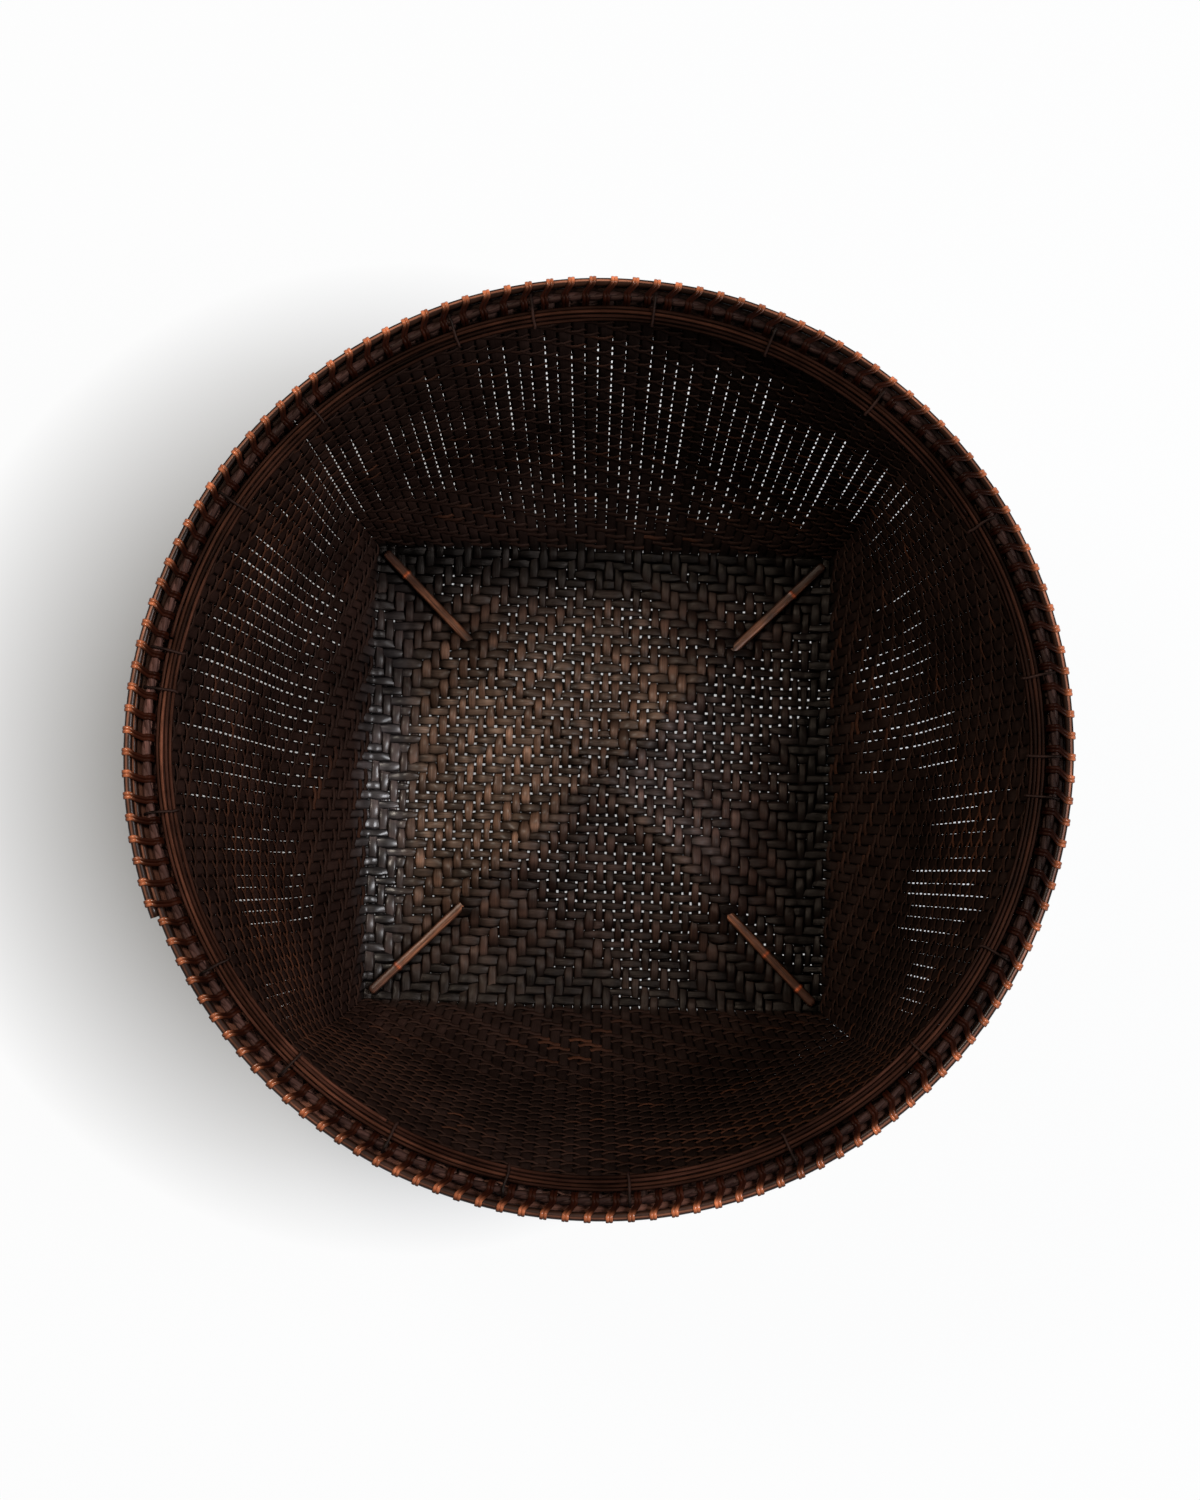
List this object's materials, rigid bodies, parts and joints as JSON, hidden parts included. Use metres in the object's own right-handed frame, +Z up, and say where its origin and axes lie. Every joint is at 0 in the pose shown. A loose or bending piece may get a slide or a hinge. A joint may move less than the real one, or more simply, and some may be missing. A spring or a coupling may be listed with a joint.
{
  "type": "bamboo basket",
  "caption": "Square-based, round-rimmed bamboo basket in fine twill, with a lashed hoop, an inner bundle of splints and crossed slats under the floor.",
  "frame": {"origin": "middle of the underside of the floor's flat edge", "axes": "+Z up through the open mouth, +X and +Y square to the floor's sides"},
  "size_m": [0.4204, 0.4188, 0.2113],
  "materials": {
    "weave": "smoke-darkened split bamboo, satin",
    "slat": "coppery split cane, satin",
    "hoop": "brown cane rod, satin",
    "dark_cane": "near-black cane, satin",
    "splint": "brown split cane, satin",
    "lashing": "orange-brown rattan, satin",
    "tie": "dark brown rattan, satin"
  },
  "bodies": {
    "root": {"woven_body": "weave", "diagonal_slat_upper": "slat", "diagonal_slat_lower": "slat", "hoop_rod_main": "hoop", "hoop_rod_inner": "dark_cane", "border_strand": "dark_cane", "rim_splint_1": "splint", "rim_splint_2": "splint", "rim_splint_3": "splint", "rim_splint_4": "splint", "lashing_strand_1": "lashing", "lashing_strand_2": "lashing", "lashing_strand_3": "lashing", "lashing_strand_4": "lashing", "lashing_strand_5": "lashing", "lashing_strand_6": "lashing", "lashing_strand_7": "lashing", "lashing_strand_8": "lashing", "bundle_tie_01": "tie", "bundle_tie_02": "tie", "bundle_tie_03": "tie", "bundle_tie_04": "tie", "bundle_tie_05": "tie", "bundle_tie_06": "tie", "bundle_tie_07": "tie", "bundle_tie_08": "tie", "bundle_tie_09": "tie", "bundle_tie_10": "tie", "bundle_tie_11": "tie", "bundle_tie_12": "tie", "bundle_tie_13": "tie", "bundle_tie_14": "tie", "bundle_tie_15": "tie", "bundle_tie_16": "tie", "bundle_tie_17": "tie", "bundle_tie_18": "tie", "bundle_tie_19": "tie", "bundle_tie_20": "tie", "bundle_tie_21": "tie", "bundle_tie_22": "tie"}
  },
  "joints": []
}
